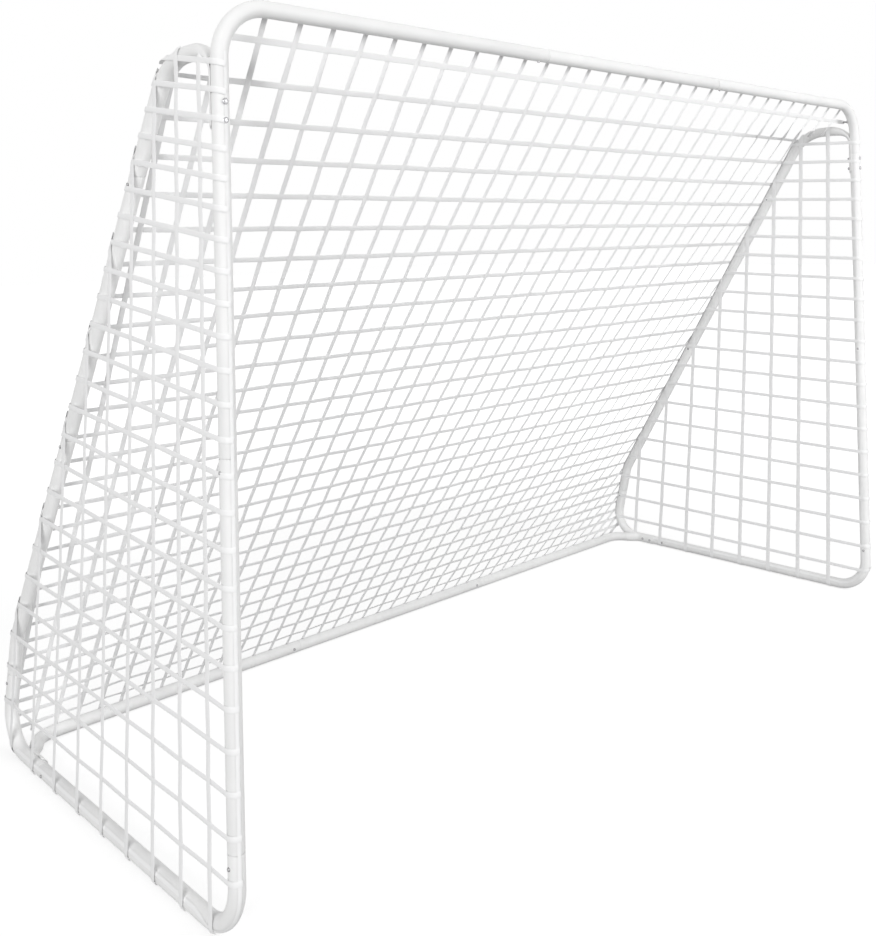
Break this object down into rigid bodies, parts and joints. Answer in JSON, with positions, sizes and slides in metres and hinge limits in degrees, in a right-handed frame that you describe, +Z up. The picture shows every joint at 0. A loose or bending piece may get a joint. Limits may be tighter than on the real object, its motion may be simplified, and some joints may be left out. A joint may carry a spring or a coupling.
{
  "type": "portable soccer goal",
  "caption": "Portable soccer goal: knock-down frame of white round steel tube with sloping braces and a square-mesh net, locked together by spring buttons.",
  "frame": {"origin": "bottom centre of the bounding box, on the ground", "axes": "+X along the goal line, to the right as seen from the field; +Y from the mouth to the back; +Z up"},
  "size_m": [2.75, 1.162, 1.829],
  "materials": {
    "powder_coated_steel": "white powder coat, satin",
    "spring_steel": "plated spring steel",
    "zinc_steel": "zinc plated, bright",
    "net_cord": "flat white net cord"
  },
  "bodies": {
    "frame": {"crossbar_left": "powder_coated_steel", "crossbar_middle": "powder_coated_steel", "crossbar_right": "powder_coated_steel", "post_upper_left": "powder_coated_steel", "post_lower_left": "powder_coated_steel", "base_left": "powder_coated_steel", "rear_corner_left": "powder_coated_steel", "brace_lower_left": "powder_coated_steel", "brace_upper_left": "powder_coated_steel", "arch_left": "powder_coated_steel", "post_upper_right": "powder_coated_steel", "post_lower_right": "powder_coated_steel", "base_right": "powder_coated_steel", "rear_corner_right": "powder_coated_steel", "brace_lower_right": "powder_coated_steel", "brace_upper_right": "powder_coated_steel", "arch_right": "powder_coated_steel", "rear_bar_left": "powder_coated_steel", "rear_bar_middle": "powder_coated_steel", "rear_bar_right": "powder_coated_steel", "bolt_upper_left": "zinc_steel", "bolt_lower_left": "zinc_steel", "nut_upper_left": "zinc_steel", "nut_lower_left": "zinc_steel", "screw_front_left": "zinc_steel", "screw_rear_left": "zinc_steel", "bolt_upper_right": "zinc_steel", "bolt_lower_right": "zinc_steel", "nut_upper_right": "zinc_steel", "nut_lower_right": "zinc_steel", "screw_front_right": "zinc_steel", "screw_rear_right": "zinc_steel", "net_back": "net_cord", "net_left": "net_cord", "net_right": "net_cord"},
    "button_post_middle_left": {"button_post_middle_left": "spring_steel"},
    "button_post_foot_left": {"button_post_foot_left": "spring_steel"},
    "button_base_left": {"button_base_left": "spring_steel"},
    "button_rear_corner_left": {"button_rear_corner_left": "spring_steel"},
    "button_brace_left": {"button_brace_left": "spring_steel"},
    "button_arch_left": {"button_arch_left": "spring_steel"},
    "button_post_middle_right": {"button_post_middle_right": "spring_steel"},
    "button_post_foot_right": {"button_post_foot_right": "spring_steel"},
    "button_base_right": {"button_base_right": "spring_steel"},
    "button_rear_corner_right": {"button_rear_corner_right": "spring_steel"},
    "button_brace_right": {"button_brace_right": "spring_steel"},
    "button_arch_right": {"button_arch_right": "spring_steel"},
    "button_crossbar_left": {"button_crossbar_left": "spring_steel"},
    "button_crossbar_right": {"button_crossbar_right": "spring_steel"},
    "button_rear_bar_left": {"button_rear_bar_left": "spring_steel"},
    "button_rear_bar_right": {"button_rear_bar_right": "spring_steel"}
  },
  "joints": [
    {"name": "button_post_middle_left_press", "type": "slide", "parent": "frame", "child": "button_post_middle_left", "axis": [1, 0, 0], "range_m": [0, 0.0046], "stiffness_N_per_m": 2500, "springref_m": -0.002},
    {"name": "button_post_foot_left_press", "type": "slide", "parent": "frame", "child": "button_post_foot_left", "axis": [1, 0, 0], "range_m": [0, 0.0046], "stiffness_N_per_m": 2500, "springref_m": -0.002},
    {"name": "button_base_left_press", "type": "slide", "parent": "frame", "child": "button_base_left", "axis": [1, 0, 0], "range_m": [0, 0.0046], "stiffness_N_per_m": 2500, "springref_m": -0.002},
    {"name": "button_rear_corner_left_press", "type": "slide", "parent": "frame", "child": "button_rear_corner_left", "axis": [1, 0, 0], "range_m": [0, 0.0046], "stiffness_N_per_m": 2500, "springref_m": -0.002},
    {"name": "button_brace_left_press", "type": "slide", "parent": "frame", "child": "button_brace_left", "axis": [1, 0, 0], "range_m": [0, 0.0046], "stiffness_N_per_m": 2500, "springref_m": -0.002},
    {"name": "button_arch_left_press", "type": "slide", "parent": "frame", "child": "button_arch_left", "axis": [1, 0, 0], "range_m": [0, 0.0046], "stiffness_N_per_m": 2500, "springref_m": -0.002},
    {"name": "button_post_middle_right_press", "type": "slide", "parent": "frame", "child": "button_post_middle_right", "axis": [1, 0, 0], "range_m": [0, 0.0046], "stiffness_N_per_m": 2500, "springref_m": -0.002},
    {"name": "button_post_foot_right_press", "type": "slide", "parent": "frame", "child": "button_post_foot_right", "axis": [1, 0, 0], "range_m": [0, 0.0046], "stiffness_N_per_m": 2500, "springref_m": -0.002},
    {"name": "button_base_right_press", "type": "slide", "parent": "frame", "child": "button_base_right", "axis": [1, 0, 0], "range_m": [0, 0.0046], "stiffness_N_per_m": 2500, "springref_m": -0.002},
    {"name": "button_rear_corner_right_press", "type": "slide", "parent": "frame", "child": "button_rear_corner_right", "axis": [1, 0, 0], "range_m": [0, 0.0046], "stiffness_N_per_m": 2500, "springref_m": -0.002},
    {"name": "button_brace_right_press", "type": "slide", "parent": "frame", "child": "button_brace_right", "axis": [1, 0, 0], "range_m": [0, 0.0046], "stiffness_N_per_m": 2500, "springref_m": -0.002},
    {"name": "button_arch_right_press", "type": "slide", "parent": "frame", "child": "button_arch_right", "axis": [1, 0, 0], "range_m": [0, 0.0046], "stiffness_N_per_m": 2500, "springref_m": -0.002},
    {"name": "button_crossbar_left_press", "type": "slide", "parent": "frame", "child": "button_crossbar_left", "axis": [0, 0, 1], "range_m": [0, 0.0046], "stiffness_N_per_m": 2500, "springref_m": -0.002},
    {"name": "button_crossbar_right_press", "type": "slide", "parent": "frame", "child": "button_crossbar_right", "axis": [0, 0, 1], "range_m": [0, 0.0046], "stiffness_N_per_m": 2500, "springref_m": -0.002},
    {"name": "button_rear_bar_left_press", "type": "slide", "parent": "frame", "child": "button_rear_bar_left", "axis": [0, 1, 0], "range_m": [0, 0.0046], "stiffness_N_per_m": 2500, "springref_m": -0.002},
    {"name": "button_rear_bar_right_press", "type": "slide", "parent": "frame", "child": "button_rear_bar_right", "axis": [0, 1, 0], "range_m": [0, 0.0046], "stiffness_N_per_m": 2500, "springref_m": -0.002}
  ]
}
